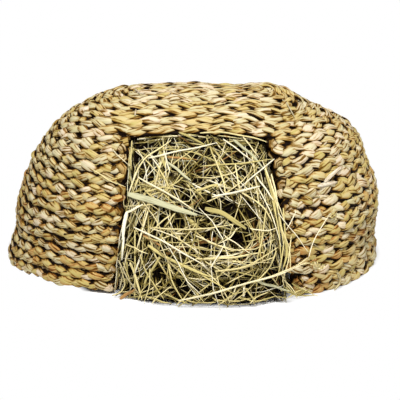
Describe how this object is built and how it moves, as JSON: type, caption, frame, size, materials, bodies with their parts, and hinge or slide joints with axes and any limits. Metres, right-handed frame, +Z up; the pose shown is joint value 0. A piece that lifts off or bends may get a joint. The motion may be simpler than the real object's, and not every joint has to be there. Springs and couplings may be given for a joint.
{
  "type": "pet hideaway hut",
  "caption": "Low domed hideaway for a small pet, wound from plaited dried grass, with a wide arched doorway filled by a removable bundle of hay.",
  "frame": {"origin": "middle of the bounding box on the surface that the hut stands on", "axes": "+X to the right as seen from in front of the doorway and along the hut's length, +Y from the doorway to the back wall, +Z up"},
  "size_m": [0.3564, 0.27, 0.158],
  "materials": {
    "plaited_grass": "dried grass leaf, matte with a slight sheen",
    "sewing_thread": "matte natural twine",
    "hay": "dry hay, matte"
  },
  "bodies": {
    "hut": {"wall_course_01": "plaited_grass", "wall_course_02": "plaited_grass", "wall_course_03": "plaited_grass", "wall_course_04": "plaited_grass", "wall_course_05": "plaited_grass", "wall_course_06": "plaited_grass", "wall_course_07": "plaited_grass", "wall_course_08": "plaited_grass", "wall_course_09": "plaited_grass", "wall_course_10": "plaited_grass", "wall_course_11": "plaited_grass", "wall_course_12": "plaited_grass", "wall_course_13": "plaited_grass", "wall_course_14": "plaited_grass", "wall_course_15": "plaited_grass", "wall_course_16": "plaited_grass", "seam_thread_01": "sewing_thread", "seam_thread_02": "sewing_thread", "seam_thread_03": "sewing_thread", "seam_thread_04": "sewing_thread", "seam_thread_05": "sewing_thread", "seam_thread_06": "sewing_thread", "seam_thread_07": "sewing_thread", "seam_thread_08": "sewing_thread", "seam_thread_09": "sewing_thread", "seam_thread_10": "sewing_thread", "seam_thread_11": "sewing_thread", "seam_thread_12": "sewing_thread", "seam_thread_13": "sewing_thread", "seam_thread_14": "sewing_thread", "seam_thread_15": "sewing_thread", "seam_thread_16": "sewing_thread", "dome_coil": "plaited_grass"},
    "hay": {"hay_bundle": "hay"}
  },
  "joints": [
    {"name": "hay_slide", "type": "slide", "parent": "hut", "child": "hay", "axis": [0, -1, 0], "range_m": [0, 0.2]}
  ]
}
